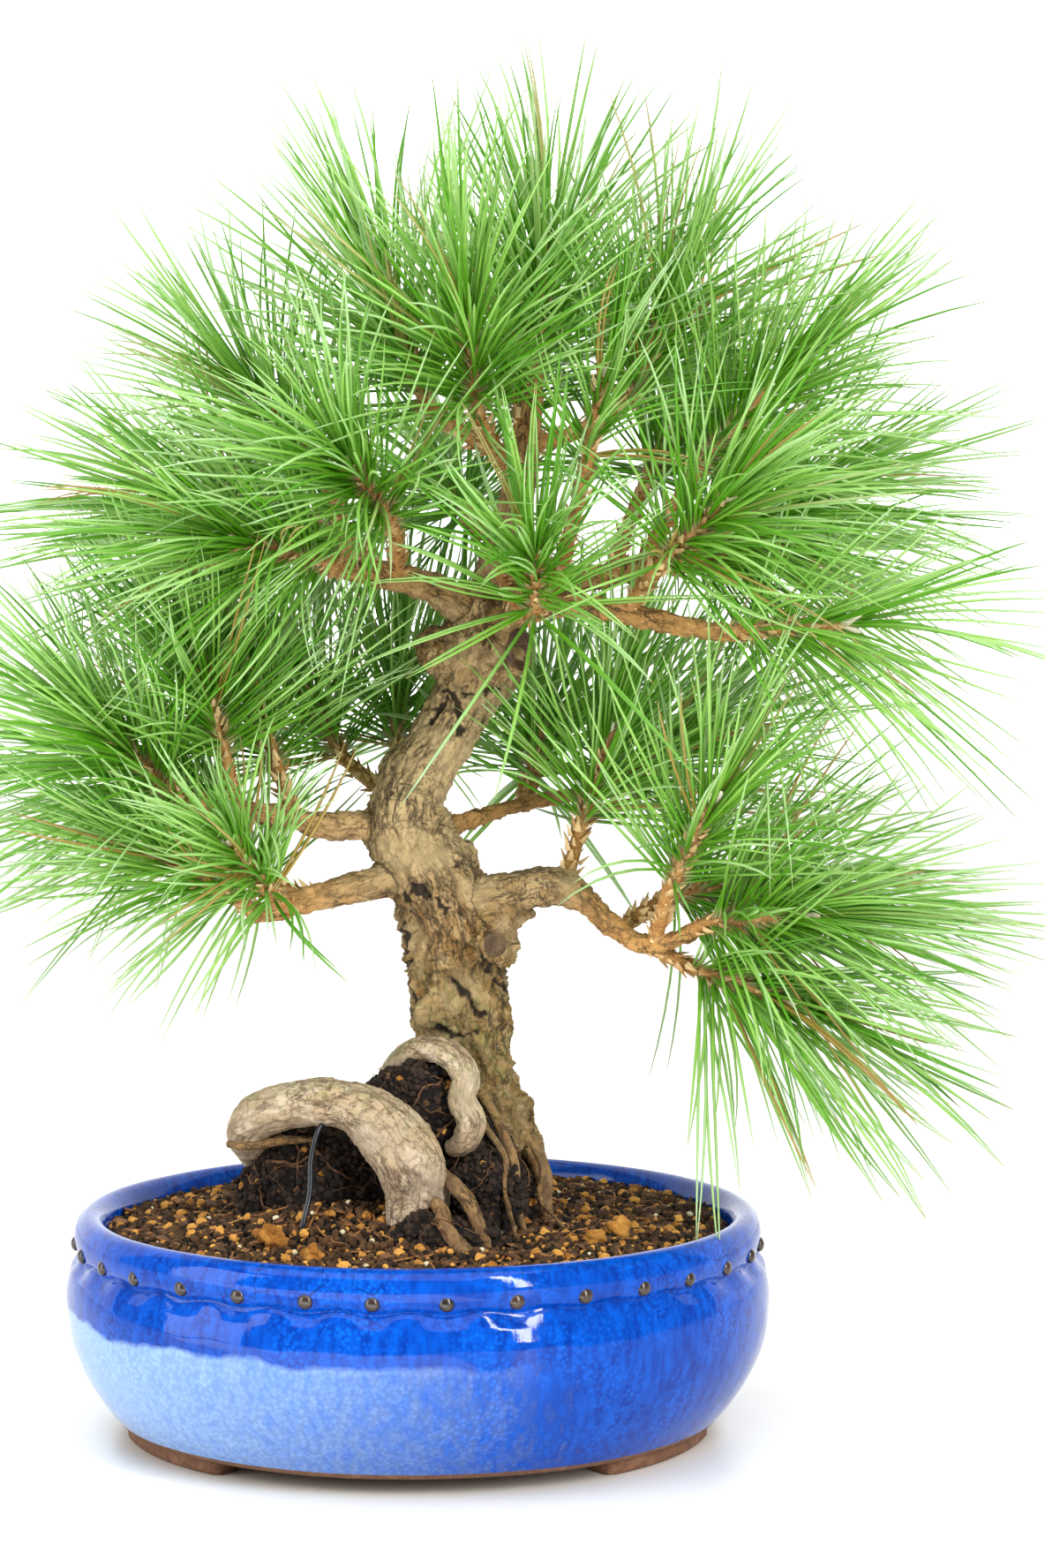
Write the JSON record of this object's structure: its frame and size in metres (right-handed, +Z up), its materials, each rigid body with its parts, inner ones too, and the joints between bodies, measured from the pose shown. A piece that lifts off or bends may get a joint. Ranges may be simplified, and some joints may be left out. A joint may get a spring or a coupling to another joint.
{
  "type": "potted bonsai pine tree",
  "caption": "Black pine bonsai with an S-curved trunk, looping exposed roots and long needles, planted in a round glazed pot with a studded collar and bare clay feet",
  "frame": {"origin": "on the surface that the pot's feet stand on, under the middle of the whole tree's outline; the pot's own axis is 19 mm towards -X and 4 mm towards -Y", "axes": "+Z up along the pot's axis, -Y towards the front of the tree, +X to the right seen from the front"},
  "size_m": [0.403, 0.3146, 0.492],
  "materials": {
    "glaze": "gloss",
    "net": "matte",
    "wire": "satin",
    "mix": "matte",
    "peat": "matte",
    "grain": "matte",
    "bark": "matte",
    "root": "matte",
    "needle": "satin"
  },
  "bodies": {
    "root": {"pot": "glaze", "drain_net_left": "net", "drain_net_right": "net", "tie_wire": "wire", "potting_mix": "mix", "root_ball": "peat", "trunk": "bark", "root_arch": "root", "root_front": "root", "root_left": "root", "root_prop_front": "root", "root_prop_right": "root", "leader": "bark", "limb_back_left": "bark", "limb_back_right": "bark", "limb_crown_left": "bark", "limb_crown_right": "bark", "limb_left_low": "bark", "limb_left_mid": "bark", "limb_right_low": "bark", "limb_right_top": "bark", "clay_grain_1": "grain", "clay_grain_2": "grain", "clay_grain_3": "grain", "clay_grain_4": "grain", "shoot_crown_top": "needle", "shoot_crown_top_right": "needle", "shoot_crown_top_left": "needle", "shoot_crown_top_back": "needle", "shoot_crown_top_front": "needle", "shoot_crown_front": "needle", "shoot_crown_spire": "needle", "shoot_crown_back": "needle", "shoot_crown_right_1": "needle", "shoot_crown_right_2": "needle", "shoot_crown_right_3": "needle", "shoot_crown_right_4": "needle", "shoot_crown_left_1": "needle", "shoot_crown_left_2": "needle", "shoot_crown_left_3": "needle", "shoot_crown_left_4": "needle", "shoot_crown_left_5": "needle", "shoot_top_right_end": "needle", "shoot_top_right_front": "needle", "shoot_left_mid_1": "needle", "shoot_left_mid_2": "needle", "shoot_left_mid_3": "needle", "shoot_left_mid_4": "needle", "shoot_left_low_1": "needle", "shoot_left_low_2": "needle", "shoot_left_low_3": "needle", "shoot_back_left_1": "needle", "shoot_back_left_2": "needle", "shoot_back_right_1": "needle", "shoot_back_right_2": "needle", "shoot_right_low_1": "needle", "shoot_right_low_2": "needle", "shoot_right_low_3": "needle", "shoot_right_low_4": "needle", "shoot_right_low_5": "needle"}
  },
  "joints": []
}
